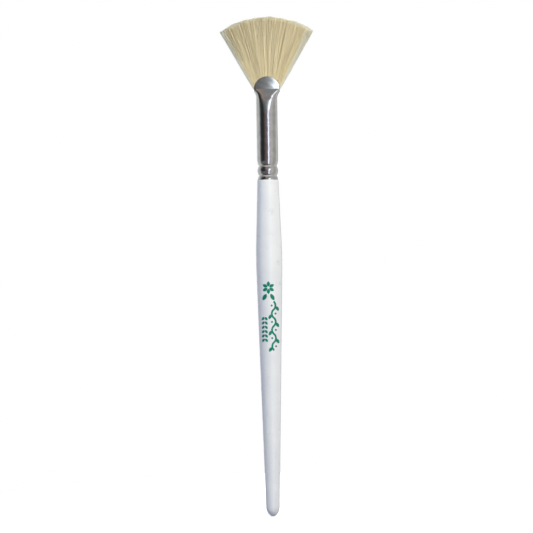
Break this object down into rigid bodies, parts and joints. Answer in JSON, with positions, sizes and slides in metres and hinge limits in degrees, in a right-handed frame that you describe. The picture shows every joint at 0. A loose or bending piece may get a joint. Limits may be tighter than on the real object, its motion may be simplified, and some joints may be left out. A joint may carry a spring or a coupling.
{
  "type": "fan brush",
  "caption": "Slim brush: a turned, lacquered wooden handle, a crimped metal ferrule with a flattened half-round mouth, and a wide flat fan of natural bristles that springs back when bent.",
  "frame": {"origin": "middle of the round seat at the handle's belly, its thickest part, on the brush's centre line", "axes": "+Z along the brush from the tail to the bristle tips, X across the width of the fan, Y through its thickness, with the printed face on -Y"},
  "size_m": [0.038, 0.0104, 0.203],
  "materials": {
    "lacquer": "gloss",
    "birch": "satin",
    "ink": "satin",
    "adhesive": "gloss",
    "nickel": "polished",
    "resin": "gloss",
    "cotton": "matte",
    "bristle": "satin"
  },
  "bodies": {
    "handle": {"handle_core": "birch", "handle_lacquer": "lacquer", "handle_imprint": "ink", "tenon_adhesive": "adhesive", "ferrule": "nickel", "resin_plug": "resin", "root_binding": "cotton", "bristle_roots": "bristle"},
    "fan": {"bristle_fan": "bristle"}
  },
  "joints": [
    {"name": "bristle_flex", "type": "hinge", "parent": "handle", "child": "fan", "pos_m": [0, 0, 0.07515], "axis": [1, 0, 0], "range_deg": [-35, 35], "stiffness_Nm_per_rad": 0.04}
  ]
}
